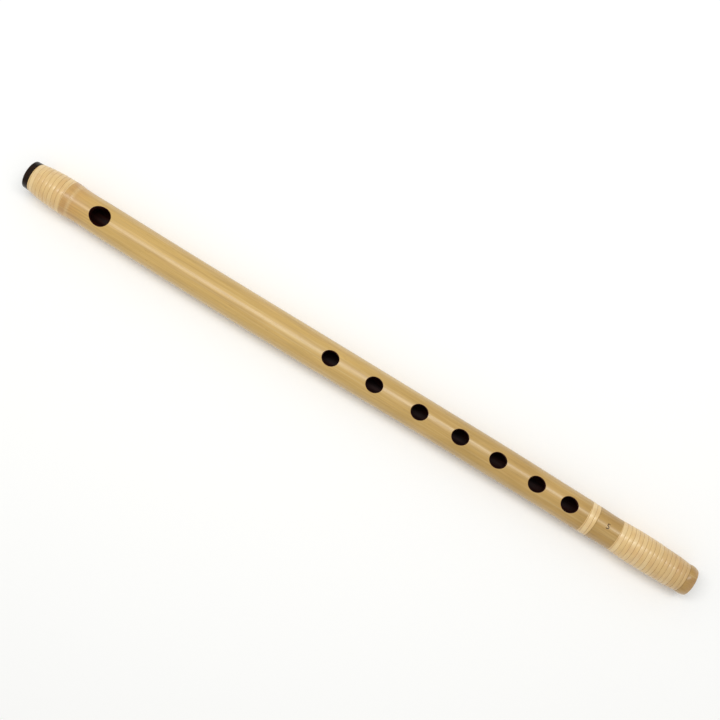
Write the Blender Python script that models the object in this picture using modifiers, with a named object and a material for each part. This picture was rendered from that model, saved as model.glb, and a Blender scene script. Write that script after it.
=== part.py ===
"""A seven-hole shinobue, a transverse flute of bamboo, lying on its back with its holes up.

One bamboo tube carries everything: a domed cap closes its head, a cork stopper and a wax seal end the air
column beside the mouth hole, and three bands of cane strip lie in seats carved round the tube, flush with its
skin. All sizes are in metres. While it is made, the tube's axis is the X axis and x is the distance from the tip
of the head. At the end the flute is set down with its box centred over the origin and its underside at z = 0.
"""

import math

import bmesh
import bpy

# Tube
FLUTE_LENGTH = 0.440
BORE_AT_HEAD = 0.0134
BORE_AT_FOOT = 0.0126
SIDEWAYS_BOW = 0.0007
RIM_CORNER = 0.0010
RIM_FACE_WIDTH = 0.0008
RIM_TAPER = 0.0004
NODE_RING_FROM_HEAD = 0.0320
NODE_RING_WIDTH = 0.0016
NODE_RING_RISE = 0.00012

# The bamboo's girth as it grew: how far from that end of the flute, and the diameter there
HEAD_GIRTHS = (
    (0.0050, 0.0174),
    (0.0125, 0.0197),
    (0.0200, 0.0208),
    (0.0285, 0.0211),
    (0.0305, 0.0209),
    (0.0345, 0.0201),
    (0.0410, 0.0198),
    (0.0520, 0.0202),
    (0.1100, 0.0204),
    (0.1800, 0.0204),
)
FOOT_GIRTHS = (
    (0.2080, 0.0200),
    (0.1700, 0.0196),
    (0.1200, 0.0194),
    (0.0850, 0.0188),
    (0.0670, 0.0187),
    (0.0520, 0.0181),
    (0.0460, 0.0185),
    (0.0385, 0.0192),
    (0.0270, 0.0192),
    (0.0190, 0.0186),
    (0.0110, 0.0181),
    (0.0054, 0.0168),
)

# Holes
MOUTH_FROM_HEAD = 0.0519
MOUTH_LENGTH = 0.0130
MOUTH_WIDTH = 0.0113
FINGER_HOLES_FROM_FOOT = (0.2345, 0.2060, 0.1767, 0.1504, 0.1260, 0.1012, 0.0802)
FINGER_HOLE_LENGTH = 0.0101
FINGER_HOLE_WIDTH = 0.0088

# Cap, stopper and seal
CAP_LENGTH = 0.0050
CAP_CORNER = 0.0006
CAP_DOME_HEIGHT = 0.0013
CAP_FLAT_DIAMETER = 0.0050
CAP_TAPER = 0.0002
SPIGOT_LENGTH = 0.0080
SPIGOT_CHAMFER = 0.0005
SEAL_FACE_TO_MOUTH = 0.0120
SEAL_THICKNESS = 0.0025
STOPPER_LENGTH = 0.0140
STOPPER_CHAMFER = 0.0006

# Cane bands
CANE_THICKNESS = 0.0007
CANE_CROWN = 0.00012
TURN_GAP = 0.00045
CANE_TIP_WIDTH = 0.0006
HEAD_BAND_LENGTH = 0.0230
HEAD_BAND_PASSES = 8.5
RING_BAND_FROM_FOOT = 0.0687
RING_BAND_LENGTH = 0.0056
RING_BAND_PASSES = 2
FOOT_BAND_FROM_FOOT = 0.0489
FOOT_BAND_LENGTH = 0.0435
FOOT_BAND_PASSES = 17

# What is left between one piece and the next
CLEARANCE = 0.0003

# Facets and spacing of the model's own faces
SIDES = 32
POINTS_A_TURN = 24
PLAIN_RING_SPACING = 0.020
SEAT_RING_SPACING = 0.004
BORE_RING_SPACING = 0.040
ARC_STEPS = 4

# The flats of a many-sided section touch the true round, so its corners reach a little further.
CORNER_REACH = 1 / math.cos(math.pi / SIDES)
CANE_CORNER_REACH = 1 / math.cos(math.pi / POINTS_A_TURN)

HEAD_BAND = (CAP_LENGTH, CAP_LENGTH + HEAD_BAND_LENGTH)
RING_BAND_START = FLUTE_LENGTH - RING_BAND_FROM_FOOT
RING_BAND = (RING_BAND_START, RING_BAND_START + RING_BAND_LENGTH)
FOOT_BAND_START = FLUTE_LENGTH - FOOT_BAND_FROM_FOOT
FOOT_BAND = (FOOT_BAND_START, FOOT_BAND_START + FOOT_BAND_LENGTH)
SEAL_FACE = MOUTH_FROM_HEAD - SEAL_FACE_TO_MOUTH

GIRTHS = [*HEAD_GIRTHS, *((FLUTE_LENGTH - from_foot, girth) for from_foot, girth in FOOT_GIRTHS)]

collection = bpy.data.collections.new("shinobue")
cutters = bpy.data.collections.new("cutters")


def clear_scene():
    for obj in list(bpy.data.objects):
        bpy.data.objects.remove(obj, do_unlink=True)
    bpy.context.scene.collection.children.link(collection)
    bpy.context.scene.collection.children.link(cutters)


def finish(name, hex_colour, roughness):
    """A plain material of one colour, written as it looks on a screen."""
    material = bpy.data.materials.new(name)
    material.use_nodes = True
    shader = material.node_tree.nodes["Principled BSDF"]
    channels = [int(hex_colour[i : i + 2], 16) / 255 for i in (0, 2, 4)]
    linear = [c / 12.92 if c <= 0.04045 else ((c + 0.055) / 1.055) ** 2.4 for c in channels]
    shader.inputs["Base Color"].default_value = (*linear, 1)
    shader.inputs["Roughness"].default_value = roughness
    shader.inputs["Metallic"].default_value = 0
    return material


def bamboo_radius(x):
    """The tube's natural outer radius at x, smooth through the girths measured along it."""
    x = min(max(x, GIRTHS[0][0]), GIRTHS[-1][0])
    i = max(k for k in range(len(GIRTHS) - 1) if GIRTHS[k][0] <= x)

    def slope(k):
        before, after = GIRTHS[max(k - 1, 0)], GIRTHS[min(k + 1, len(GIRTHS) - 1)]
        return (after[1] - before[1]) / (after[0] - before[0])

    (x0, d0), (x1, d1) = GIRTHS[i], GIRTHS[i + 1]
    span = x1 - x0
    t = (x - x0) / span
    start = (1 + 2 * t) * (1 - t) ** 2 * d0 + t * (1 - t) ** 2 * span * slope(i)
    end = t * t * (3 - 2 * t) * d1 + t * t * (t - 1) * span * slope(i + 1)
    return (start + end) / 2


def bore_radius(x):
    along = x / FLUTE_LENGTH
    return (BORE_AT_HEAD + (BORE_AT_FOOT - BORE_AT_HEAD) * along) / 2


def bow(x):
    """How far the bamboo wanders sideways at x: a slight S from end to end."""
    return -SIDEWAYS_BOW * math.sin(2 * math.pi * x / FLUTE_LENGTH)


def spread(start, end, spacing):
    """Places from start to end, both included, no further apart than spacing."""
    steps = max(1, math.ceil((end - start) / spacing))
    return [start + (end - start) * k / steps for k in range(steps + 1)]


def arc(centre, radius, start_degrees, end_degrees):
    """Points of a profile's rounding, its angles counted from +X towards the skin."""
    angles = [
        math.radians(start_degrees + (end_degrees - start_degrees) * k / ARC_STEPS)
        for k in range(ARC_STEPS + 1)
    ]
    return [(centre[0] + radius * math.cos(a), centre[1] + radius * math.sin(a)) for a in angles]


def turned(name, profile, material, closed):
    """Turns a profile of (x, radius) points round the X axis, with a flat of its section facing down.

    The profile runs along the outside from head to foot, and back along the bore if it is closed.
    """
    half_side = math.pi / SIDES
    outline = bmesh.new()
    points = [
        outline.verts.new((x, radius * math.cos(half_side), radius * math.sin(half_side)))
        for x, radius in profile
    ]
    for a, b in zip(points, points[1:] + points[:1] * closed):
        outline.edges.new((a, b))
    mesh = bpy.data.meshes.new(name)
    outline.to_mesh(mesh)
    outline.free()
    obj = bpy.data.objects.new(name, mesh)
    collection.objects.link(obj)
    screw = obj.modifiers.new("turn", "SCREW")
    screw.axis = "X"
    screw.steps = screw.render_steps = SIDES
    screw.use_merge_vertices = True
    screw.merge_threshold = 1e-6
    screw.use_smooth_shade = True
    follow_bow(obj)
    obj.data.materials.append(material)
    return obj


def follow_bow(obj):
    """Applies the modifiers of obj, faces it outwards and moves each point sideways with the bamboo."""
    graph = bpy.context.evaluated_depsgraph_get()
    obj.data = bpy.data.meshes.new_from_object(obj.evaluated_get(graph))
    obj.modifiers.clear()
    solid = bmesh.new()
    solid.from_mesh(obj.data)
    bmesh.ops.recalc_face_normals(solid, faces=solid.faces)
    for vertex in solid.verts:
        vertex.co.y += bow(vertex.co.x)
    solid.to_mesh(obj.data)
    solid.free()
    obj.data.set_sharp_from_angle(angle=math.radians(30))


def skin(start, end, spacing):
    """Profile points on the bamboo's own skin."""
    return [(x, bamboo_radius(x) * CORNER_REACH) for x in spread(start, end, spacing)]


def seat(band):
    """Profile points of the seat carved for a band of cane, with square shoulders."""
    depth = CANE_THICKNESS + CLEARANCE
    return [(x, bamboo_radius(x) - depth) for x in spread(*band, SEAT_RING_SPACING)]


def node_ring():
    """Profile points of the low ridge that the bamboo's node leaves on its skin."""
    left = NODE_RING_FROM_HEAD - NODE_RING_WIDTH / 2
    points = []
    for k, share in enumerate((0, 0.7, 1, 0.7, 0)):
        x = left + NODE_RING_WIDTH * k / 4
        points.append((x, (bamboo_radius(x) + NODE_RING_RISE * share) * CORNER_REACH))
    return points


def rim():
    """Profile points of the bare foot: a slight taper, a rounded corner and a flat end."""
    end_radius = bore_radius(FLUTE_LENGTH) + RIM_FACE_WIDTH
    corner = (FLUTE_LENGTH - RIM_CORNER, end_radius)
    taper = (FLUTE_LENGTH - RIM_CORNER, end_radius + RIM_CORNER)
    shoulder = (FOOT_BAND[1], bamboo_radius(FOOT_BAND[1]))
    mid = ((shoulder[0] + taper[0]) / 2, (shoulder[1] + taper[1]) / 2 + RIM_TAPER)
    points = [shoulder, mid, *arc(corner, RIM_CORNER, 90, 0)]
    return [(x, radius * CORNER_REACH) for x, radius in points]


def bamboo_tube(material):
    before_node = NODE_RING_FROM_HEAD - NODE_RING_WIDTH / 2
    after_node = NODE_RING_FROM_HEAD + NODE_RING_WIDTH / 2
    outside = [
        *seat(HEAD_BAND),
        *skin(HEAD_BAND[1], before_node, SEAT_RING_SPACING)[:-1],
        *node_ring(),
        *skin(after_node, SEAL_FACE, SEAT_RING_SPACING)[1:],
        *skin(SEAL_FACE, RING_BAND[0], PLAIN_RING_SPACING)[1:],
        *seat(RING_BAND),
        *skin(RING_BAND[1], FOOT_BAND[0], SEAT_RING_SPACING),
        *seat(FOOT_BAND),
        *rim(),
    ]
    inside = [(x, bore_radius(x)) for x in spread(CAP_LENGTH, FLUTE_LENGTH, BORE_RING_SPACING)]
    tube = turned("bamboo_tube", outside + inside[::-1], material, closed=True)
    hole_cutter("mouth_hole_cutter", MOUTH_FROM_HEAD, MOUTH_LENGTH, MOUTH_WIDTH)
    for number, from_foot in enumerate(FINGER_HOLES_FROM_FOOT, 1):
        x = FLUTE_LENGTH - from_foot
        hole_cutter(f"finger_hole_{number}_cutter", x, FINGER_HOLE_LENGTH, FINGER_HOLE_WIDTH)
    cut = tube.modifiers.new("holes", "BOOLEAN")
    cut.operand_type = "COLLECTION"
    cut.collection = cutters
    cut.solver = "EXACT"
    return tube


def hole_cutter(name, x, length, width):
    """An upright oval peg from the bore's axis to well clear of the skin."""
    height = 2 * bamboo_radius(x)
    bpy.ops.mesh.primitive_cylinder_add(
        vertices=SIDES, radius=0.5, depth=1, location=(x, bow(x), height / 2)
    )
    peg = bpy.context.object
    peg.name = name
    peg.scale = (length, width, height)
    bpy.ops.object.transform_apply(location=False, rotation=False, scale=True)
    for owner in peg.users_collection:
        owner.objects.unlink(peg)
    cutters.objects.link(peg)
    peg.hide_render = True
    peg.display_type = "WIRE"


def head_cap(material):
    """A shallow dome with a small flat at its centre, a rounded edge, and a spigot that goes into the bore."""
    base = CAP_LENGTH - CLEARANCE
    base_radius = bamboo_radius(CAP_LENGTH)
    edge_radius = base_radius - CAP_TAPER - CAP_CORNER
    flat_radius = CAP_FLAT_DIAMETER / 2
    ball = (CAP_DOME_HEIGHT**2 + edge_radius**2 - flat_radius**2) / (2 * CAP_DOME_HEIGHT)
    ball = math.hypot(ball, flat_radius)
    tip_depth = math.sqrt(ball**2 - flat_radius**2)
    flat_angle = math.degrees(math.asin(flat_radius / ball))
    edge_angle = math.degrees(math.asin(edge_radius / ball))
    dome = arc((tip_depth, 0), ball, 180 - flat_angle, 180 - edge_angle)
    corner = (dome[-1][0] + CAP_CORNER, edge_radius)
    edge = arc(corner, CAP_CORNER, 180, 90)[1:]
    spigot_radius = bore_radius(CAP_LENGTH) - CLEARANCE
    spigot_end = CAP_LENGTH + SPIGOT_LENGTH
    spigot_end_radius = bore_radius(spigot_end) - CLEARANCE
    round_part = [*dome, *edge, (base, base_radius)]
    profile = [
        (0, 0),
        *((x, radius * CORNER_REACH) for x, radius in round_part),
        (base, spigot_radius),
        (spigot_end - SPIGOT_CHAMFER, spigot_end_radius),
        (spigot_end, spigot_end_radius - SPIGOT_CHAMFER),
        (spigot_end, 0),
    ]
    return turned("head_cap", profile, material, closed=False)


def bore_plug(name, start, end, chamfer, material):
    """A plug that fills the bore from start to end, its edges chamfered."""

    def fit(x):
        return bore_radius(x) - CLEARANCE

    profile = [
        (start, 0),
        (start, fit(start) - chamfer),
        (start + chamfer, fit(start + chamfer)),
        (end - chamfer, fit(end - chamfer)),
        (end, fit(end) - chamfer),
        (end, 0),
    ]
    return turned(name, profile, material, closed=False)


def cane_binding(name, band, passes, material):
    """One strip of split cane wound from shoulder to shoulder of its seat.

    Both of its ends are cut to a long taper, so that the band ends square at either shoulder. Its crowned face is
    flush with the bamboo.
    """
    left, right = band[0] + CLEARANCE, band[1] - CLEARANCE
    pitch = (right - left + TURN_GAP) / passes
    rings, edges = [], []
    strip = bmesh.new()
    for i in range(round((passes + 1) * POINTS_A_TURN) + 1):
        turns = i / POINTS_A_TURN
        low = max(left, left + pitch * (turns - 1))
        high = min(right, left + pitch * turns - TURN_GAP)
        if high - low < CANE_TIP_WIDTH:
            continue
        angle = 2 * math.pi * (turns + 0.5 / POINTS_A_TURN)
        middle = (low + high) / 2
        section = [
            (low, bamboo_radius(low) - CANE_THICKNESS),
            (low, bamboo_radius(low) - CANE_CROWN),
            (middle, bamboo_radius(middle)),
            (high, bamboo_radius(high) - CANE_CROWN),
            (high, bamboo_radius(high) - CANE_THICKNESS),
        ]
        ring = []
        for x, radius in section:
            reach = radius * CANE_CORNER_REACH
            ring.append(strip.verts.new((x, bow(x) + reach * math.cos(angle), reach * math.sin(angle))))
        rings.append(ring)
        edges.append((ring[0].co.copy(), ring[-1].co.copy()))
    for ring, following in zip(rings, rings[1:]):
        for k in range(len(ring)):
            after = (k + 1) % len(ring)
            strip.faces.new((ring[k], ring[after], following[after], following[k]))
    strip.faces.new(rings[0][::-1])
    strip.faces.new(rings[-1])
    bmesh.ops.recalc_face_normals(strip, faces=strip.faces)
    mesh = bpy.data.meshes.new(name)
    strip.to_mesh(mesh)
    strip.free()
    mesh.shade_smooth()
    mesh.set_sharp_from_angle(angle=math.radians(30))
    obj = bpy.data.objects.new(name, mesh)
    collection.objects.link(obj)
    obj.data.materials.append(material)
    print(f"{name}: least gap between its turns {least_gap(edges) * 1000:.2f} mm")
    return obj


def least_gap(edges):
    """The shortest way from a strip's right edge to the left edge of the turn after it."""
    gap = math.inf
    for i, (_, right) in enumerate(edges):
        for left, _ in edges[i + POINTS_A_TURN - 1 : i + POINTS_A_TURN + 2]:
            gap = min(gap, (left - right).length)
    return gap


def set_down():
    """Parents everything to one empty, and moves it until the flute's box stands centred on the origin."""
    corners = [vertex.co for obj in collection.objects for vertex in obj.data.vertices]
    low = [min(corner[axis] for corner in corners) for axis in range(3)]
    high = [max(corner[axis] for corner in corners) for axis in range(3)]
    origin = bpy.data.objects.new("flute_axis", None)
    for obj in [*collection.objects, *cutters.objects]:
        obj.parent = origin
    collection.objects.link(origin)
    origin.location = (-(low[0] + high[0]) / 2, -(low[1] + high[1]) / 2, -low[2])
    size = " x ".join(f"{(b - a) * 1000:.2f}" for a, b in zip(low, high))
    place = ", ".join(f"{value * 1000:.3f}" for value in origin.location)
    print(f"box {size} mm, head tip on the tube's axis at {place} mm")


def build():
    clear_scene()
    bamboo = finish("bamboo", "C9A66B", 0.38)
    lacquer = finish("black_lacquer", "17120F", 0.22)
    cane = finish("cane", "DEBE92", 0.45)
    cork = finish("cork", "B98A5A", 0.85)
    wax = finish("beeswax", "C58B3A", 0.50)
    bamboo_tube(bamboo)
    head_cap(lacquer)
    seal_start = SEAL_FACE - SEAL_THICKNESS
    stopper_end = seal_start - CLEARANCE
    bore_plug("cork_stopper", stopper_end - STOPPER_LENGTH, stopper_end, STOPPER_CHAMFER, cork)
    bore_plug("wax_seal", seal_start, SEAL_FACE, CLEARANCE, wax)
    cane_binding("head_binding", HEAD_BAND, HEAD_BAND_PASSES, cane)
    cane_binding("foot_ring_binding", RING_BAND, RING_BAND_PASSES, cane)
    cane_binding("foot_binding", FOOT_BAND, FOOT_BAND_PASSES, cane)
    set_down()


build()
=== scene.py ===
"""Looks for the shinobue: satin bamboo, varnished cane bands, a black lacquered cap and lacquered holes.

Each piece but the numeral replaces one CAD node and keeps its place. Sizes are in metres. Each piece is made
along the tube's own axis, where x is the distance from the tip of the head, and is then set into the row's
frame.
"""

import math

import bmesh
import bpy
from mathutils import Matrix, Vector


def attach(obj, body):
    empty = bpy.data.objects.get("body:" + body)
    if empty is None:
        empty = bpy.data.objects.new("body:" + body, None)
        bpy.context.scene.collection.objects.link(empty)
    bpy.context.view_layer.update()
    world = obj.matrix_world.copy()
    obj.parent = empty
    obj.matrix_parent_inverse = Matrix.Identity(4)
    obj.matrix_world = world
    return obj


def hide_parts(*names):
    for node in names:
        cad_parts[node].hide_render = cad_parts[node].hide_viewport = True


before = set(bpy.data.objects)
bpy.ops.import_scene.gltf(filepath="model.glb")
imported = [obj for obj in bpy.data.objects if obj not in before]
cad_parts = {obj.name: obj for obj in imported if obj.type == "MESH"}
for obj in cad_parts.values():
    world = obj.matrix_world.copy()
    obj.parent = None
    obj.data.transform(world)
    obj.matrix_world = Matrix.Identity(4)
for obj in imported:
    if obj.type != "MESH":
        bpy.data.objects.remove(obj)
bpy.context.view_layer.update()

MM = 0.001

# The tube's own axis in the row's frame, and the bamboo's slight S from end to end
FLUTE_LENGTH = 0.440
AXIS_Y = 0.000248
AXIS_Z = 0.010548
SIDEWAYS_BOW = 0.0007

# The bamboo's girth as it grew: distance from the tip of the head, and the diameter there
GIRTHS = (
    (0.0050, 0.0174),
    (0.0125, 0.0197),
    (0.0200, 0.0208),
    (0.0285, 0.0211),
    (0.0305, 0.0209),
    (0.0345, 0.0201),
    (0.0410, 0.0198),
    (0.0520, 0.0202),
    (0.1100, 0.0204),
    (0.1800, 0.0204),
    (0.2320, 0.0200),
    (0.2700, 0.0196),
    (0.3200, 0.0194),
    (0.3550, 0.0188),
    (0.3730, 0.0187),
    (0.3880, 0.0181),
    (0.3940, 0.0185),
    (0.4015, 0.0192),
    (0.4130, 0.0192),
    (0.4210, 0.0186),
    (0.4290, 0.0181),
    (0.4346, 0.0168),
)
BORE_AT_HEAD = 0.0134
BORE_AT_FOOT = 0.0126
RIM_CORNER = 0.0010
RIM_FACE_WIDTH = 0.0008
RIM_TAPER = 0.0004
BORE_LIP = 0.0003
NODE_RING = 0.0320
NODE_RING_WIDTH = 0.0016
NODE_RING_RISE = 0.00012

# Holes: distance from the tip of the head, and size at the skin
MOUTH_HOLE = (0.0519, 0.0130, 0.0113)
FINGER_HOLES = (0.2055, 0.2340, 0.2633, 0.2896, 0.3140, 0.3388, 0.3598)
FINGER_HOLE_LENGTH = 0.0101
FINGER_HOLE_WIDTH = 0.0088
EDGE_ROUNDING = 0.0006
EDGE_ARC_DEGREES = 62

# The pegs that cut the holes: how far their flare and their top reach past the skin
PEG_FLARE = 0.0012
PEG_TOP = 0.0020

# Cap, stopper and seal
CAP_LENGTH = 0.0050
CAP_CORNER = 0.0006
CAP_DOME_HEIGHT = 0.0013
CAP_FLAT_DIAMETER = 0.0050
CAP_TAPER = 0.0002
CAP_SEAM = 0.0001
SPIGOT_LENGTH = 0.0080
SPIGOT_CHAMFER = 0.0005
SEAL = (0.0374, 0.0399)
SEAL_CHAMFER = 0.0003
STOPPER = (0.0231, 0.0371)
STOPPER_CHAMFER = 0.0006

# Cane bands: from, to, and how many strips wide
HEAD_BAND = (0.0050, 0.0280, 8.5)
RING_BAND = (0.3713, 0.3769, 2)
FOOT_BAND = (0.3911, 0.4346, 17)
CANE_THICKNESS = 0.0007
CANE_CROWN = 0.00007
TURN_GAP = 0.00004
SEAT_GAP = 0.00005

# The strip's section is an ellipse squared off by a power. It thins to a tip where it is narrower than
# TIP_WIDTH, and the tip lies at TIP_DEPTH, a share of the strip's thickness
SECTION_POWER = 0.3
TIP_WIDTH = 0.0005
TIP_DEPTH = 0.4

# A plain number, as flutes carry for their pitch
NUMERAL = "5"
NUMERAL_FROM_HEAD = 0.3838
NUMERAL_OFF_AXIS = 0.0010
NUMERAL_HEIGHT = 0.0046
INK_THICKNESS = 0.00003
LONGEST_INK_EDGE = 0.0006

# How finely the meshes are made
TUBE_SIDES = 160
CAP_SIDES = 96
BORE_SPACING = 0.0040
SKIN_SPACING = 0.0025
SEAT_LINE_SPACING = 0.0005
HOLE_POINTS = 96
ARC_STEPS = 8
CANE_POINTS_A_TURN = 72
CANE_SECTION_POINTS = 21
SHARP_DEGREES = 35
WELD = 0.000001

# The skin's rings are closer as far as NODE_REACH past the node's ring, and HOLE_MARGIN past each hole
NODE_SPACING = 0.0004
NODE_REACH = 0.0200
HOLE_SPACING = 0.0006
HOLE_MARGIN = 0.0015

# The camera that took the photograph, worked out from how the bands' edges curve in it
CAMERA_AZIMUTH = 31.87
CAMERA_ELEVATION = 83.67
CAMERA_DISTANCE = 0.5995
CAMERA_TARGET = (-0.0006, 0.00885, 0.01055)
CAMERA_LENS = 53
CAMERA_NEAR = 0.01

# The light and the paper. The room is as bright as ROOM_LIGHT on the flute, and as ROOM_AS_SEEN to the camera
SOFTBOX_SIZE = (1.2, 0.26)
SOFTBOX_WATTS = 5.4
SOFTBOX_PLACE = (-0.08, 0.16, 0.95)
SOFTBOX_TURN_DEGREES = 24.5
ROOM_LIGHT = 0.6
ROOM_AS_SEEN = 1.0
FLOOR_SIZE = 6


def colour(hex_value):
    """A linear RGBA colour from the sRGB hex value that it has on a screen."""
    channels = [int(hex_value[i : i + 2], 16) / 255 for i in (0, 2, 4)]
    return (*(c / 12.92 if c <= 0.04045 else ((c + 0.055) / 1.055) ** 2.4 for c in channels), 1)


def add(tree, kind, inputs=None, stops=None, **settings):
    """Adds one node: its settings, its colour stops, and each input as a value or as a link from a socket."""
    node = tree.nodes.new(kind)
    for key, value in settings.items():
        setattr(node, key, value)
    if stops:
        ramp = node.color_ramp
        while len(ramp.elements) < len(stops):
            ramp.elements.new(0.5)
        for element, (place, tone) in zip(ramp.elements, stops):
            element.position = place
            element.color = colour(tone)
    for key, value in (inputs or {}).items():
        if isinstance(value, bpy.types.NodeSocket):
            tree.links.new(value, node.inputs[key])
        else:
            node.inputs[key].default_value = value
    return node


def new_material(name, **shader_values):
    """A material with one Principled shader, whose plain values are given by the names of its sockets."""
    material = bpy.data.materials.new(name)
    material.use_nodes = True
    tree = material.node_tree
    shader = tree.nodes["Principled BSDF"]
    for key, value in shader_values.items():
        shader.inputs[key.replace("_", " ")].default_value = value
    return material, tree, shader


def pattern(tree, cell, detail=2, roughness=0.5, stops=None, way=None):
    """Noise whose cells are about cell millimetres, length by width, spread by two or more stops if given.

    Its length runs along the tube, or along a strip if the strip's own way is given.
    """
    length, width = (1 / (side * MM) for side in cell)
    place = way or add(tree, "ShaderNodeTexCoord").outputs["Object"]
    scale = (length, width, 0 if way else width)
    vector = add(tree, "ShaderNodeMapping", {"Vector": place, "Scale": scale}).outputs[0]
    inputs = {"Vector": vector, "Scale": 1, "Detail": detail, "Roughness": roughness}
    grey = add(tree, "ShaderNodeTexNoise", inputs).outputs["Fac"]
    if stops is None:
        return grey
    return add(tree, "ShaderNodeValToRGB", {"Fac": grey}, stops=stops).outputs["Color"]


def stain(tree, tone, hex_value, strength, mask):
    """A tone mixed with a colour by up to strength, where a mask is white."""
    stained = {0: strength, 6: tone, 7: colour(hex_value)}
    stained = add(tree, "ShaderNodeMix", stained, data_type="RGBA").outputs[2]
    masked = {0: mask, 6: tone, 7: stained}
    return add(tree, "ShaderNodeMix", masked, data_type="RGBA").outputs[2]


def share(x):
    """A distance from the tip of the head, as a share of the flute's length."""
    return x / FLUTE_LENGTH


def tones_along(tree, stops):
    """Tones that change along the tube, each set at a distance from the tip of the head."""
    place = add(tree, "ShaderNodeTexCoord").outputs["Object"]
    x = add(tree, "ShaderNodeSeparateXYZ", {0: place}).outputs["X"]
    ends = {"Value": x, "From Min": -FLUTE_LENGTH / 2, "From Max": FLUTE_LENGTH / 2}
    along = add(tree, "ShaderNodeMapRange", ends).outputs[0]
    stops = [(share(distance), tone) for distance, tone in stops]
    return add(tree, "ShaderNodeValToRGB", {"Fac": along}, stops=stops).outputs["Color"]


def bamboo_material():
    """Seasoned bamboo skin, scraped and oiled: straight fibres, slow streaks, a satin gloss.

    The eye sees fibre bundles 0.3 mm wide, drawn 0.4 mm wide so that they show, brown streaks 2 mm wide, pale
    ones half as wide, and a skin that darkens from the head to the foot.
    """
    material, tree, shader = new_material("oiled_bamboo_skin", IOR=1.5, Coat_Weight=0.35, Coat_Roughness=0.22)
    tones = (
        (0.0, "CD9F5E"),
        (0.034, "D3A55C"),
        (0.050, "D3AD60"),
        (0.150, "D4AF64"),
        (0.230, "CDA85E"),
        (0.300, "C19C54"),
        (0.365, "BB944E"),
        (0.385, "B38C48"),
        (0.436, "B08A48"),
        (FLUTE_LENGTH, "BC9360"),
    )
    tone = tones_along(tree, tones)

    # The node: a tan band before it, a painted highlight along its raised ring, and the thin shadow line
    # where the sheath grew
    node_tones = (
        (0.0275, "000000"),
        (0.0290, "C0C0C0"),
        (0.0312, "C0C0C0"),
        (0.0316, "000000"),
        (0.0328, "000000"),
        (0.0334, "AAAAAA"),
        (0.0360, "555555"),
        (0.0420, "000000"),
    )
    tone = stain(tree, tone, "C19259", 1, tones_along(tree, node_tones))
    # The pale ring is a painted highlight along the node's raised ridge, laid into the skin's colour
    ridge_highlight_tones = (
        (0.0313, "000000"),
        (0.0317, "FFFFFF"),
        (0.0324, "FFFFFF"),
        (0.0329, "000000"),
    )
    tone = stain(tree, tone, "E3C795", 1, tones_along(tree, ridge_highlight_tones))

    blotches = pattern(tree, (28, 9), 3, 0.5, ((0.38, "000000"), (0.68, "FFFFFF")))
    tone = stain(tree, tone, "D9B26A", 0.45, blotches)
    streaks = pattern(tree, (95, 2.2), 4, 0.6, ((0.46, "000000"), (0.74, "FFFFFF")))
    tone = stain(tree, tone, "9A6F3A", 0.34, streaks)
    pale_streaks = pattern(tree, (70, 1.3), 3, 0.5, ((0.52, "000000"), (0.78, "FFFFFF")))
    tone = stain(tree, tone, "E6CB8F", 0.40, pale_streaks)
    fibres = pattern(tree, (24, 0.4), 3, 0.65, ((0.30, "D9D9D9"), (0.70, "FFFFFF")))
    shaded = {0: 0.75, 6: tone, 7: fibres}
    tone = add(tree, "ShaderNodeMix", shaded, data_type="RGBA", blend_type="MULTIPLY").outputs[2]
    flecks = pattern(tree, (3.2, 0.42), 1, 0.4, ((0.70, "000000"), (0.80, "FFFFFF")))
    tone = stain(tree, tone, "7C5526", 0.42, flecks)
    tree.links.new(tone, shader.inputs["Base Color"])

    gloss = {"Value": pattern(tree, (12, 3), 3), "To Min": 0.27, "To Max": 0.42}
    tree.links.new(add(tree, "ShaderNodeMapRange", gloss).outputs[0], shader.inputs["Roughness"])
    flats = {"Height": pattern(tree, (60, 4), 1), "Strength": 0.5, "Distance": 0.00035}
    flats = add(tree, "ShaderNodeBump", flats).outputs[0]
    grain = {"Height": pattern(tree, (24, 0.4), 3, 0.65), "Strength": 0.35, "Distance": 0.00002}
    grain = add(tree, "ShaderNodeBump", {**grain, "Normal": flats}).outputs[0]
    tree.links.new(grain, shader.inputs["Normal"])
    return material


def cut_bamboo_material():
    """Bamboo cut across and sanded: dark fibre ends 0.35 mm apart in a pale dull ground."""
    material, tree, shader = new_material("sanded_bamboo_end", Roughness=0.6, IOR=1.5)
    place = add(tree, "ShaderNodeTexCoord").outputs["Object"]
    cells = {"Vector": place, "Scale": 1 / (0.35 * MM)}
    cells = add(tree, "ShaderNodeTexVoronoi", cells).outputs["Distance"]
    ends = ((0.16, "7A5730"), (0.42, "C6A06C"), (1.0, "D2AE7A"))
    tone = add(tree, "ShaderNodeValToRGB", {"Fac": cells}, stops=ends).outputs["Color"]
    tree.links.new(tone, shader.inputs["Base Color"])
    dents = {"Height": cells, "Strength": 0.3, "Distance": 0.00004}
    tree.links.new(add(tree, "ShaderNodeBump", dents).outputs[0], shader.inputs["Normal"])
    return material


def bore_lacquer_material():
    """Brown-black lacquer brushed into the bore and the holes: a low sheen, slow marks along the bore."""
    material, tree, shader = new_material(
        "brushed_bore_lacquer", Roughness=0.5, IOR=1.5, Specular_IOR_Level=0.15
    )
    shade = pattern(tree, (14, 1.6), 3, 0.5, ((0.35, "1C0604"), (0.70, "3A120A")))
    tree.links.new(shade, shader.inputs["Base Color"])
    marks = {"Height": pattern(tree, (9, 1.2), 2), "Strength": 0.4, "Distance": 0.00008}
    tree.links.new(add(tree, "ShaderNodeBump", marks).outputs[0], shader.inputs["Normal"])
    return material


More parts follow.
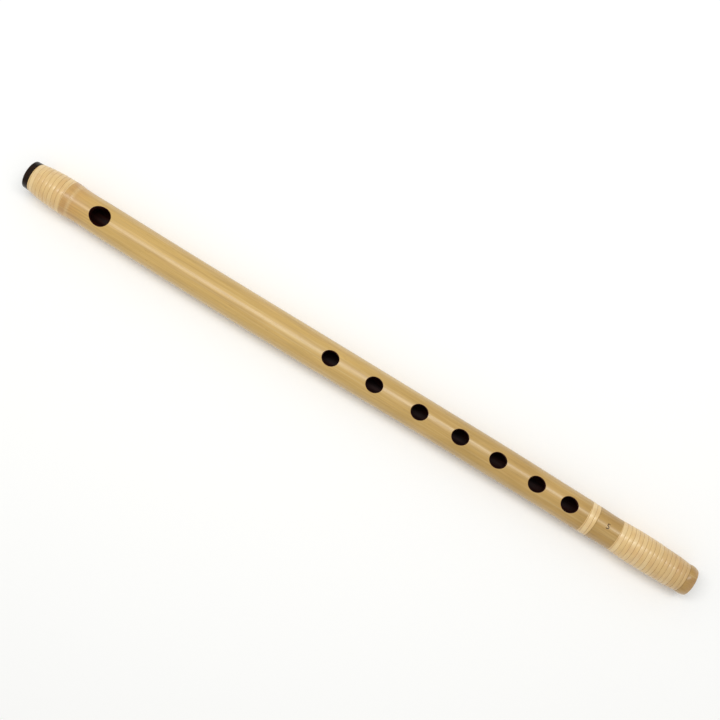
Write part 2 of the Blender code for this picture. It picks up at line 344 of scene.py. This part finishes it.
def cap_lacquer_material():
    """Black lacquer in many polished coats over turned wood: deep gloss, a trace of brown, faint waves."""
    material, tree, shader = new_material(
        "polished_black_lacquer", IOR=1.5, Specular_IOR_Level=0.12, Coat_Weight=0.05, Coat_Roughness=0.08
    )
    shade = pattern(tree, (3, 3), 3, 0.5, ((0.40, "170D06"), (0.75, "2A180C")))
    tree.links.new(shade, shader.inputs["Base Color"])
    gloss = {"Value": pattern(tree, (1.2, 1.2), 4), "To Min": 0.12, "To Max": 0.26}
    tree.links.new(add(tree, "ShaderNodeMapRange", gloss).outputs[0], shader.inputs["Roughness"])
    waves = {"Height": pattern(tree, (2.5, 2.5), 2), "Strength": 0.2, "Distance": 0.00004}
    tree.links.new(add(tree, "ShaderNodeBump", waves).outputs[0], shader.inputs["Normal"])
    return material


def cane_material():
    """Split cane, peeled and varnished: pale, with fibres along the strip and each turn a little off in tone.

    Real fibres are 0.15 mm apart and are drawn 0.25 mm apart so that they show. They follow the strip through
    its own attribute, which holds the way along the strip and the way across it, both in metres, and the
    share of its half width. The foot band is a little darker towards the foot.
    """
    material, tree, shader = new_material(
        "varnished_split_cane", Roughness=0.36, IOR=1.5, Coat_Weight=0.4, Coat_Roughness=0.2
    )
    way = add(tree, "ShaderNodeAttribute", attribute_name="strip").outputs["Vector"]
    turns = ((0.35, "DFB878"), (0.50, "E8C586"), (0.66, "F0D29A"))
    tone = pattern(tree, (45, 60), 2, 0.5, turns, way)
    warm = pattern(tree, (7, 7), 3, 0.5, ((0.45, "000000"), (0.75, "FFFFFF")))
    tone = stain(tree, tone, "D2A066", 0.42, warm)
    fibres = pattern(tree, (9, 0.25), 3, 0.6, ((0.30, "DCDCDC"), (0.65, "FFFFFF")), way)
    shaded = {0: 0.7, 6: tone, 7: fibres}
    tone = add(tree, "ShaderNodeMix", shaded, data_type="RGBA", blend_type="MULTIPLY").outputs[2]
    # Painted shade along both edges of each strip, where the turns meet and the gap between them lies
    across = add(tree, "ShaderNodeSeparateXYZ", {0: way}).outputs["Z"]
    edge = add(tree, "ShaderNodeMath", {0: across}, operation="ABSOLUTE").outputs[0]
    turn_edge_shade = ((0.88, "000000"), (1.0, "FFFFFF"))
    turn_edge_shade = add(tree, "ShaderNodeValToRGB", {"Fac": edge}, stops=turn_edge_shade).outputs["Color"]
    tone = stain(tree, tone, "A87E4C", 0.40, turn_edge_shade)
    # The foot band is made a little darker towards the foot end
    foot_darkening = {0: 1.0, 6: tone, 7: tones_along(tree, ((0.400, "FFFFFF"), (FOOT_BAND[1], "E8E4E0")))}
    tone = add(tree, "ShaderNodeMix", foot_darkening, data_type="RGBA", blend_type="MULTIPLY").outputs[2]
    tree.links.new(tone, shader.inputs["Base Color"])
    grain = {"Height": pattern(tree, (9, 0.25), 3, 0.6, way=way), "Strength": 0.4, "Distance": 0.00003}
    tree.links.new(add(tree, "ShaderNodeBump", grain).outputs[0], shader.inputs["Normal"])
    return material


def cork_material():
    """Natural cork, cut: dull tan with dark pores 0.6 mm across."""
    material, tree, shader = new_material("cut_cork", Roughness=0.85, IOR=1.4)
    ground = pattern(tree, (2.2, 2.2), 4, 0.6, ((0.35, "A4764A"), (0.65, "C89B68")))
    pores = pattern(tree, (0.6, 0.6), 2, 0.5, ((0.62, "000000"), (0.70, "FFFFFF")))
    tree.links.new(stain(tree, ground, "4E3018", 1, pores), shader.inputs["Base Color"])
    dents = {"Height": pores, "Strength": 0.6, "Distance": -0.0002}
    tree.links.new(add(tree, "ShaderNodeBump", dents).outputs[0], shader.inputs["Normal"])
    return material


def wax_material():
    """Beeswax poured against the stopper: a soft sheen and slow swells."""
    material, tree, shader = new_material("poured_beeswax", Roughness=0.45, IOR=1.44)
    tone = pattern(tree, (3, 3), 2, 0.5, ((0.35, "B67A2C"), (0.70, "CE9846")))
    tree.links.new(tone, shader.inputs["Base Color"])
    swells = {"Height": pattern(tree, (2, 2), 2), "Strength": 0.3, "Distance": 0.0002}
    tree.links.new(add(tree, "ShaderNodeBump", swells).outputs[0], shader.inputs["Normal"])
    return material


def floor_material():
    """Smooth white paper: dull, even and bright."""
    material, _, shader = new_material("white_paper", Roughness=0.9, Specular_IOR_Level=0.1)
    shader.inputs["Base Color"].default_value = colour("FDFDFB")
    return material


def bamboo_radius(x):
    """The tube's natural outer radius at x, smooth through the girths measured along it."""
    x = min(max(x, GIRTHS[0][0]), GIRTHS[-1][0])
    i = max(k for k in range(len(GIRTHS) - 1) if GIRTHS[k][0] <= x)

    def slope(k):
        before, after = GIRTHS[max(k - 1, 0)], GIRTHS[min(k + 1, len(GIRTHS) - 1)]
        return (after[1] - before[1]) / (after[0] - before[0])

    (x0, d0), (x1, d1) = GIRTHS[i], GIRTHS[i + 1]
    span = x1 - x0
    t = (x - x0) / span
    start = (1 + 2 * t) * (1 - t) ** 2 * d0 + t * (1 - t) ** 2 * span * slope(i)
    end = t * t * (3 - 2 * t) * d1 + t * t * (t - 1) * span * slope(i + 1)
    return (start + end) / 2


def bore_radius(x):
    """The bore's radius at x: it narrows evenly to the foot."""
    return (BORE_AT_HEAD + (BORE_AT_FOOT - BORE_AT_HEAD) * share(x)) / 2


def bow(x):
    """How far the bamboo wanders sideways at x."""
    return -SIDEWAYS_BOW * math.sin(2 * math.pi * share(x))


def spread(start, end, spacing):
    """Places from start to end, both included, no further apart than spacing."""
    steps = max(1, math.ceil((end - start) / spacing))
    return [start + (end - start) * k / steps for k in range(steps + 1)]


def arc(centre, radius, start_degrees, end_degrees):
    """Points of a profile's rounding, its angles counted from +X towards the skin."""
    step = (end_degrees - start_degrees) / ARC_STEPS
    angles = [math.radians(start_degrees + step * k) for k in range(ARC_STEPS + 1)]
    return [(centre[0] + radius * math.cos(a), centre[1] + radius * math.sin(a)) for a in angles]


def to_row(mesh):
    """Moves a mesh made along the tube's own axis into the row's frame."""
    mesh.transform(Matrix.Translation((-FLUTE_LENGTH / 2, AXIS_Y, AXIS_Z)))


def turned_mesh(name, profile, sides, closed, slots=None):
    """Turns a profile of (x, radius) round the bamboo's axis.

    closed joins its last point to its first, and slots gives the material of the faces after each point.
    """
    solid = bmesh.new()
    rings = []
    for x, radius in profile:
        if radius == 0:
            rings.append([solid.verts.new((x, bow(x), 0))])
            continue
        ring = []
        for k in range(sides):
            angle = 2 * math.pi * k / sides
            ring.append(solid.verts.new((x, bow(x) + radius * math.cos(angle), radius * math.sin(angle))))
        rings.append(ring)
    pairs = list(zip(rings, rings[1:] + rings[:1] * closed))
    for index, (ring, following) in enumerate(pairs):
        for k in range(sides):
            corners = [ring[k % len(ring)], ring[(k + 1) % len(ring)]]
            corners += [following[(k + 1) % len(following)], following[k % len(following)]]
            face = solid.faces.new(list(dict.fromkeys(corners)))
            face.smooth = True
            face.material_index = slots[index] if slots else 0
    bmesh.ops.recalc_face_normals(solid, faces=solid.faces)
    mesh = bpy.data.meshes.new(name)
    solid.to_mesh(mesh)
    solid.free()
    return mesh


def place(name, mesh, materials):
    """A finished object from a mesh, in the scene."""
    obj = bpy.data.objects.new(name, mesh)
    for material in materials:
        mesh.materials.append(material)
    bpy.context.scene.collection.objects.link(obj)
    return obj


def dress(obj, node):
    """obj rides on the flute and stands for a CAD node, whose part it hides."""
    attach(obj, "root")
    if node:
        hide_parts(node)


def settle(obj):
    """Applies the modifiers of obj and leaves one plain mesh."""
    graph = bpy.context.evaluated_depsgraph_get()
    mesh = bpy.data.meshes.new_from_object(obj.evaluated_get(graph))
    obj.modifiers.clear()
    obj.data = mesh


def hole_cutter(x, length, width, lacquer):
    """An oval peg whose top flares over the skin, so that it leaves a rounded edge round the hole."""
    solid = bmesh.new()
    radius = bamboo_radius(x)
    flare_angle = math.radians(EDGE_ARC_DEGREES)
    flare = EDGE_ROUNDING * (1 - math.cos(flare_angle))
    long_half, wide_half = length / 2 - flare, width / 2 - flare

    def ring(offset, height):
        points = []
        for k in range(HOLE_POINTS):
            angle = 2 * math.pi * k / HOLE_POINTS
            px = x + (long_half + offset) * math.cos(angle)
            py = (wide_half + offset) * math.sin(angle)
            points.append(solid.verts.new((px, bow(x) + py, height(px, py))))
        return points

    def over_skin(depth):
        return lambda px, py: math.sqrt(bamboo_radius(px) ** 2 - py**2) + depth

    rings = [ring(0, lambda px, py: 0)]
    for k in range(ARC_STEPS + 1):
        angle = flare_angle * k / ARC_STEPS
        sunk = over_skin(-EDGE_ROUNDING * (1 - math.sin(angle)))
        rings.append(ring(EDGE_ROUNDING * (1 - math.cos(angle)), sunk))
    widest = flare + PEG_FLARE * math.sin(flare_angle)
    rise = -EDGE_ROUNDING * (1 - math.sin(flare_angle)) + PEG_FLARE * math.cos(flare_angle)
    rings.append(ring(widest, over_skin(rise)))
    rings.append(ring(widest, lambda px, py: radius + PEG_TOP))
    for lower, upper in zip(rings, rings[1:]):
        for k in range(HOLE_POINTS):
            after = (k + 1) % HOLE_POINTS
            solid.faces.new((lower[k], lower[after], upper[after], upper[k]))
    solid.faces.new(rings[0])
    solid.faces.new(rings[-1])
    for face in solid.faces:
        face.smooth = True
    bmesh.ops.recalc_face_normals(solid, faces=solid.faces)
    mesh = bpy.data.meshes.new("hole_cutter")
    solid.to_mesh(mesh)
    solid.free()
    return place("hole_cutter", mesh, [lacquer])


def hole_stretches():
    """From where to where the skin needs close rings, so that a hole cuts it cleanly."""
    holes = (MOUTH_HOLE[:2], *((x, FINGER_HOLE_LENGTH) for x in FINGER_HOLES))
    return [(x - length / 2 - HOLE_MARGIN, x + length / 2 + HOLE_MARGIN) for x, length in holes]


def skin(start, end):
    """Profile points on the bamboo's own skin from start to end, with the node's ring."""
    holes = [(low, high) for low, high in hole_stretches() if start < low and high < end]
    stops = [start, *(x for hole in holes for x in hole), end]
    points = []
    for stretch in zip(stops, stops[1:]):
        spacing = HOLE_SPACING if stretch in holes else SKIN_SPACING
        if stretch[1] < NODE_RING + NODE_REACH:
            spacing = NODE_SPACING
        points += spread(*stretch, spacing)[:-1]
    points.append(end)
    profile = []
    for x in points:
        away = abs(x - NODE_RING) / (NODE_RING_WIDTH / 2)
        rise = NODE_RING_RISE * math.cos(min(away, 1) * math.pi / 2) ** 2
        profile.append((x, bamboo_radius(x) + rise))
    return profile


def seat(band):
    """Profile points of the seat that a band of cane fills."""
    return [(x, bamboo_radius(x) - CANE_THICKNESS) for x in spread(band[0], band[1], SKIN_SPACING)]


def rim():
    """Profile points of the bare foot: a slight taper, a rounded corner and the edge of the flat end."""
    end_radius = bore_radius(FLUTE_LENGTH) + RIM_FACE_WIDTH
    corner = (FLUTE_LENGTH - RIM_CORNER, end_radius)
    taper = (FLUTE_LENGTH - RIM_CORNER, end_radius + RIM_CORNER)
    shoulder = (FOOT_BAND[1], bamboo_radius(FOOT_BAND[1]))
    points = []
    for k in range(ARC_STEPS):
        t = k / ARC_STEPS
        swell = RIM_TAPER * 4 * t * (1 - t)
        x, radius = (a + (b - a) * t for a, b in zip(shoulder, taper))
        points.append((x, radius + swell))
    return points + arc(corner, RIM_CORNER, 90, 0)


def make_tube(bamboo, cut_end, lacquer):
    """The bamboo tube: its skin, the seats of the bands, its cut ends and its lacquered bore and holes."""
    outside = [
        *seat(HEAD_BAND),
        *skin(HEAD_BAND[1], RING_BAND[0]),
        *seat(RING_BAND),
        *skin(RING_BAND[1], FOOT_BAND[0]),
        *seat(FOOT_BAND),
        *rim(),
    ]
    lip_start = FLUTE_LENGTH - BORE_LIP
    inside = [(x, bore_radius(x)) for x in spread(CAP_LENGTH, lip_start, BORE_SPACING)]
    lip = arc((lip_start, bore_radius(FLUTE_LENGTH) + BORE_LIP), BORE_LIP, 0, -90)
    profile = outside + lip + inside[::-1]
    skin_slot, end_slot, bore_slot = range(3)
    slots = [skin_slot] * (len(outside) - 2) + [end_slot] * (len(lip) + 1)
    slots += [bore_slot] * len(inside) + [end_slot]
    mesh = turned_mesh("bamboo_tube", profile, TUBE_SIDES, True, slots)
    tube = place("bamboo", mesh, [bamboo, cut_end, lacquer])
    cutters = bpy.data.collections.new("cutters")
    bpy.context.scene.collection.children.link(cutters)
    pegs = [hole_cutter(*MOUTH_HOLE, lacquer)]
    pegs += [hole_cutter(x, FINGER_HOLE_LENGTH, FINGER_HOLE_WIDTH, lacquer) for x in FINGER_HOLES]
    for peg in pegs:
        bpy.context.scene.collection.objects.unlink(peg)
        cutters.objects.link(peg)
    cut = tube.modifiers.new("holes", "BOOLEAN")
    cut.operand_type = "COLLECTION"
    cut.collection = cutters
    cut.solver = "EXACT"
    cut.material_mode = "TRANSFER"
    settle(tube)
    for peg in pegs:
        bpy.data.objects.remove(peg)
    bpy.data.collections.remove(cutters)
    tube.data.set_sharp_from_angle(angle=math.radians(SHARP_DEGREES))
    to_row(tube.data)
    return tube


def make_cap(lacquer):
    """A turned cap: a shallow dome, a soft edge and the spigot that holds it in the bore."""
    base = CAP_LENGTH - SEAT_GAP
    base_radius = bamboo_radius(CAP_LENGTH)
    edge_radius = base_radius - CAP_TAPER - CAP_CORNER
    flat_radius = CAP_FLAT_DIAMETER / 2
    middle = (CAP_DOME_HEIGHT**2 + edge_radius**2 - flat_radius**2) / (2 * CAP_DOME_HEIGHT)
    ball = math.hypot(middle, flat_radius)
    flat_angle = math.degrees(math.asin(flat_radius / ball))
    edge_angle = math.degrees(math.asin(edge_radius / ball))
    dome = arc((math.sqrt(ball**2 - flat_radius**2), 0), ball, 180 - flat_angle, 180 - edge_angle)
    edge = arc((dome[-1][0] + CAP_CORNER, edge_radius), CAP_CORNER, 180, 90)[1:]
    spigot = bore_radius(CAP_LENGTH) - SEAT_GAP
    end = CAP_LENGTH + SPIGOT_LENGTH
    profile = [(0, 0), *dome, *edge, (base - CAP_SEAM, base_radius), (base, base_radius - CAP_SEAM)]
    profile += [(base, spigot), (end - SPIGOT_CHAMFER, spigot), (end, spigot - SPIGOT_CHAMFER), (end, 0)]
    mesh = turned_mesh("cap", profile, CAP_SIDES, False)
    mesh.set_sharp_from_angle(angle=math.radians(SHARP_DEGREES))
    to_row(mesh)
    return place("end_cap", mesh, [lacquer])


def make_plug(name, ends, chamfer, material):
    """A plug that fills the bore, its edges eased."""
    start, end = ends
    profile = [
        (start, 0),
        (start, bore_radius(start) - SEAT_GAP - chamfer),
        (start + chamfer, bore_radius(start) - SEAT_GAP),
        (end - chamfer, bore_radius(end) - SEAT_GAP),
        (end, bore_radius(end) - SEAT_GAP - chamfer),
        (end, 0),
    ]
    mesh = turned_mesh(name, profile, CAP_SIDES, False)
    mesh.set_sharp_from_angle(angle=math.radians(SHARP_DEGREES))
    to_row(mesh)
    return place(name, mesh, [material])


def winding_tree(material):
    """Geometry Nodes that wind one strip from shoulder to shoulder of a seat.

    The modified mesh is the line of the seat: each point holds the place along the tube, the skin's radius
    there and the bamboo's bow. Both ends of the strip taper to a point, so that the band ends square.
    """
    tree = bpy.data.node_groups.new("wind_cane_strip", "GeometryNodeTree")
    tree.interface.new_socket("Seat Line", in_out="INPUT", socket_type="NodeSocketGeometry")
    numbers = ("Band Start", "Band End", "Passes", "Turn Gap", "Thickness", "Crown")
    for name in numbers:
        tree.interface.new_socket(name, in_out="INPUT", socket_type="NodeSocketFloat")
    tree.interface.new_socket("Points Along", in_out="INPUT", socket_type="NodeSocketInt")
    tree.interface.new_socket("Band", in_out="OUTPUT", socket_type="NodeSocketGeometry")
    given = add(tree, "NodeGroupInput").outputs

    grid = {"Size X": 1, "Size Y": 1, "Vertices X": given["Points Along"], "Vertices Y": CANE_SECTION_POINTS}
    grid = add(tree, "GeometryNodeMeshGrid", grid).outputs["Mesh"]
    on_grid = add(tree, "GeometryNodeInputPosition").outputs[0]
    on_grid = add(tree, "ShaderNodeSeparateXYZ", {0: on_grid}).outputs
    known = {name: given[name] for name in numbers}
    known |= {"grid x": on_grid["X"], "grid y": on_grid["Y"]}

    def work_out(*steps):
        """Each step says what it works out, how, and from what, by name or as a number."""
        for result, operation, *terms in steps:
            inputs = {k: known.get(term, term) for k, term in enumerate(terms)}
            known[result] = add(tree, "ShaderNodeMath", inputs, operation=operation).outputs[0]

    # Where along the strip each point is, counted in turns, and how wide the strip is there
    work_out(
        ("length", "SUBTRACT", "Band End", "Band Start"),
        ("length and gap", "ADD", "length", "Turn Gap"),
        ("pitch", "DIVIDE", "length and gap", "Passes"),
        ("first turn", "DIVIDE", "Turn Gap", "pitch"),
        ("passes and one", "ADD", "Passes", 1.0),
        ("last turn", "SUBTRACT", "passes and one", "first turn"),
        ("share along", "ADD", "grid x", 0.5),
        ("all turns", "SUBTRACT", "last turn", "first turn"),
        ("turns", "MULTIPLY_ADD", "share along", "all turns", "first turn"),
        ("turn before", "SUBTRACT", "turns", 1.0),
        ("edge behind", "MULTIPLY_ADD", "pitch", "turn before", "Band Start"),
        ("next turn", "MULTIPLY_ADD", "pitch", "turns", "Band Start"),
        ("edge ahead", "SUBTRACT", "next turn", "Turn Gap"),
        ("low", "MAXIMUM", "Band Start", "edge behind"),
        ("high", "MINIMUM", "Band End", "edge ahead"),
        ("reach", "SUBTRACT", "high", "low"),
        ("width", "MAXIMUM", "reach", 0.0),
        ("half width", "MULTIPLY", "width", 0.5),
        ("low and high", "ADD", "low", "high"),
        ("middle", "MULTIPLY", "low and high", 0.5),
    )
    # Where each point is on the strip's section
    work_out(("round section", "MULTIPLY", "grid y", 2 * math.pi))
    for result, operation in (("across", "COSINE"), ("up", "SINE")):
        work_out(
            ("wave", operation, "round section"),
            ("wave size", "ABSOLUTE", "wave"),
            ("squared off", "POWER", "wave size", SECTION_POWER),
            ("wave sign", "SIGN", "wave"),
            (result, "MULTIPLY", "wave sign", "squared off"),
        )
    work_out(
        ("x", "MULTIPLY_ADD", "across", "half width", "middle"),
        ("from start", "SUBTRACT", "x", "Band Start"),
        ("share of band", "DIVIDE", "from start", "length"),
    )

    line = add(tree, "GeometryNodeMeshToCurve", {"Mesh": given["Seat Line"]}).outputs[0]
    here = {"Curves": line, "Factor": known["share of band"]}
    here = add(tree, "GeometryNodeSampleCurve", here, use_all_curves=True).outputs["Position"]
    here = add(tree, "ShaderNodeSeparateXYZ", {0: here}).outputs
    known |= {"skin radius": here["Y"], "bow": here["Z"]}

    # How deep each point lies under the skin, and its place round the tube
    work_out(
        ("share down", "MULTIPLY_ADD", "up", -0.5, 0.5),
        ("flat depth", "MULTIPLY", "Thickness", "share down"),
        ("across squared", "MULTIPLY", "across", "across"),
        ("fall", "MULTIPLY", "Crown", "across squared"),
        ("share up", "MULTIPLY_ADD", "up", 0.5, 0.5),
        ("crowned depth", "MULTIPLY_ADD", "fall", "share up", "flat depth"),
        ("share of tip", "DIVIDE", "width", TIP_WIDTH),
        ("whole", "MINIMUM", "share of tip", 1.0),
        ("thinned", "SUBTRACT", 1.0, "whole"),
        ("tip depth", "MULTIPLY", "Thickness", TIP_DEPTH),
        ("depth at tip", "MULTIPLY", "thinned", "tip depth"),
        ("depth", "MULTIPLY_ADD", "crowned depth", "whole", "depth at tip"),
        ("radius", "SUBTRACT", "skin radius", "depth"),
        ("angle", "MULTIPLY", "turns", 2 * math.pi),
        ("cosine", "COSINE", "angle"),
        ("sine", "SINE", "angle"),
        ("y", "MULTIPLY_ADD", "radius", "cosine", "bow"),
        ("z", "MULTIPLY", "radius", "sine"),
        ("way along", "MULTIPLY", "angle", "skin radius"),
        ("way across", "MULTIPLY", "across", "half width"),
    )
    wound = {0: known["x"], 1: known["y"], 2: known["z"]}
    wound = add(tree, "ShaderNodeCombineXYZ", wound).outputs[0]
    way = {0: known["way along"], 1: known["way across"], 2: known["across"]}
    way = add(tree, "ShaderNodeCombineXYZ", way).outputs[0]
    way = {"Geometry": grid, "Name": "strip", "Value": way}
    kinds = {"data_type": "FLOAT_VECTOR", "domain": "POINT"}
    marked = add(tree, "GeometryNodeStoreNamedAttribute", way, **kinds).outputs[0]
    moved = add(tree, "GeometryNodeSetPosition", {"Geometry": marked, "Position": wound}).outputs[0]
    closed = add(tree, "GeometryNodeMergeByDistance", {"Geometry": moved, "Distance": WELD}).outputs[0]
    smooth = add(tree, "GeometryNodeSetShadeSmooth", {"Geometry": closed}).outputs[0]
    real = add(tree, "GeometryNodeRealizeInstances", {"Geometry": smooth}).outputs[0]
    painted = add(tree, "GeometryNodeSetMaterial", {"Geometry": real, "Material": material}).outputs[0]
    add(tree, "NodeGroupOutput", {0: painted})
    return tree


def make_band(name, band, tree):
    """One band of cane, wound by Geometry Nodes along the line of its seat."""
    start, end, passes = band[0] + SEAT_GAP, band[1] - SEAT_GAP, band[2]
    line = bpy.data.meshes.new(name)
    places = spread(start, end, SEAT_LINE_SPACING)
    points = [(x, bamboo_radius(x), bow(x)) for x in places]
    line.from_pydata(points, [(k, k + 1) for k in range(len(points) - 1)], [])
    obj = place(name, line, [])
    winding = obj.modifiers.new("winding", "NODES")
    winding.node_group = tree
    values = {
        "Band Start": start,
        "Band End": end,
        "Passes": float(passes),
        "Turn Gap": TURN_GAP,
        "Thickness": CANE_THICKNESS,
        "Crown": CANE_CROWN,
        "Points Along": round((passes + 1) * CANE_POINTS_A_TURN) + 1,
    }
    for socket in tree.interface.items_tree:
        if socket.name in values:
            winding[socket.identifier] = values[socket.name]
    settle(obj)
    solid = bmesh.new()
    solid.from_mesh(obj.data)
    bmesh.ops.recalc_face_normals(solid, faces=solid.faces)
    solid.to_mesh(obj.data)
    solid.free()
    to_row(obj.data)
    return obj


def make_numeral(ink):
    """The number, inked on the skin: flat lettering wrapped round the bamboo."""
    lettering = bpy.data.curves.new("numeral", "FONT")
    lettering.body = NUMERAL
    lettering.size = NUMERAL_HEIGHT
    lettering.align_x = "CENTER"
    lettering.align_y = "CENTER"
    lettering.resolution_u = 8
    text = bpy.data.objects.new("numeral", lettering)
    bpy.context.scene.collection.objects.link(text)
    graph = bpy.context.evaluated_depsgraph_get()
    flat = bmesh.new()
    flat.from_mesh(bpy.data.meshes.new_from_object(text.evaluated_get(graph)))
    bpy.data.objects.remove(text)
    bmesh.ops.remove_doubles(flat, verts=flat.verts, dist=WELD)
    long_edges = [edge for edge in flat.edges if edge.calc_length() > LONGEST_INK_EDGE]
    bmesh.ops.subdivide_edges(flat, edges=long_edges, cuts=2)
    bmesh.ops.triangulate(flat, faces=flat.faces)
    top = bmesh.ops.extrude_face_region(flat, geom=flat.faces[:])
    raised = {v for v in top["geom"] if isinstance(v, bmesh.types.BMVert)}
    for vertex in flat.verts:
        x = NUMERAL_FROM_HEAD + vertex.co.x
        radius = bamboo_radius(x) + (INK_THICKNESS if vertex in raised else -INK_THICKNESS)
        angle = (vertex.co.y + NUMERAL_OFF_AXIS) / radius
        vertex.co = (x, bow(x) + radius * math.sin(angle), radius * math.cos(angle))
    bmesh.ops.recalc_face_normals(flat, faces=flat.faces)
    mesh = bpy.data.meshes.new("numeral")
    flat.to_mesh(mesh)
    flat.free()
    to_row(mesh)
    return place("pitch_numeral", mesh, [ink])


def ink_material():
    """Black ink written with a brush and sunk into the skin: dull, brown where it is thin."""
    material, tree, shader = new_material("brushed_ink", Roughness=0.55, IOR=1.45)
    shade = pattern(tree, (1.5, 0.4), 3, 0.6, ((0.40, "1E120A"), (0.70, "4A3018")))
    tree.links.new(shade, shader.inputs["Base Color"])
    return material


def make_floor():
    """A wide sheet of paper under the flute."""
    bpy.ops.mesh.primitive_plane_add(size=FLOOR_SIZE)
    floor = bpy.context.object
    floor.name = "paper"
    floor.data.materials.append(floor_material())


def light_scene():
    """One long soft light overhead, turned a little from the flute, in an even pale room."""
    world = bpy.data.worlds.new("studio")
    bpy.context.scene.world = world
    world.use_nodes = True
    tree = world.node_tree
    tree.nodes.clear()
    seen = add(tree, "ShaderNodeLightPath").outputs["Is Camera Ray"]
    strength = {"Value": seen, "To Min": ROOM_LIGHT, "To Max": ROOM_AS_SEEN}
    strength = add(tree, "ShaderNodeMapRange", strength).outputs[0]
    room = add(tree, "ShaderNodeBackground", {"Color": (1, 1, 1, 1), "Strength": strength}).outputs[0]
    add(tree, "ShaderNodeOutputWorld", {"Surface": room})
    softbox = bpy.data.lights.new("softbox", "AREA")
    softbox.shape = "RECTANGLE"
    softbox.size, softbox.size_y = SOFTBOX_SIZE
    softbox.energy = SOFTBOX_WATTS
    lamp = bpy.data.objects.new("softbox", softbox)
    bpy.context.scene.collection.objects.link(lamp)
    lamp.location = SOFTBOX_PLACE
    lamp.rotation_euler = (0, 0, math.radians(SOFTBOX_TURN_DEGREES))


def make_camera():
    """The camera of the photograph: nearly straight down, the flute from upper left to lower right."""
    a, e = math.radians(CAMERA_AZIMUTH), math.radians(CAMERA_ELEVATION)
    back = Vector((math.sin(a) * math.cos(e), -math.cos(a) * math.cos(e), math.sin(e)))
    right = Vector((math.cos(a), math.sin(a), 0))
    up = back.cross(right)
    data = bpy.data.cameras.new("camera")
    data.lens = CAMERA_LENS
    data.clip_start = CAMERA_NEAR
    camera = bpy.data.objects.new("camera", data)
    bpy.context.scene.collection.objects.link(camera)
    turn = Matrix((right, up, back)).transposed().to_4x4()
    camera.matrix_world = Matrix.Translation(Vector(CAMERA_TARGET) + back * CAMERA_DISTANCE) @ turn
    bpy.context.scene.camera = camera


bpy.context.scene.view_settings.view_transform = "Standard"
lacquer = bore_lacquer_material()
tube = make_tube(bamboo_material(), cut_bamboo_material(), lacquer)
dress(tube, "bamboo_tube")
dress(make_cap(cap_lacquer_material()), "head_cap")
dress(make_plug("stopper", STOPPER, STOPPER_CHAMFER, cork_material()), "cork_stopper")
dress(make_plug("seal", SEAL, SEAL_CHAMFER, wax_material()), "wax_seal")
winding = winding_tree(cane_material())
dress(make_band("head_cane", HEAD_BAND, winding), "head_binding")
dress(make_band("ring_cane", RING_BAND, winding), "foot_ring_binding")
dress(make_band("foot_cane", FOOT_BAND, winding), "foot_binding")
dress(make_numeral(ink_material()), None)
make_floor()
light_scene()
make_camera()
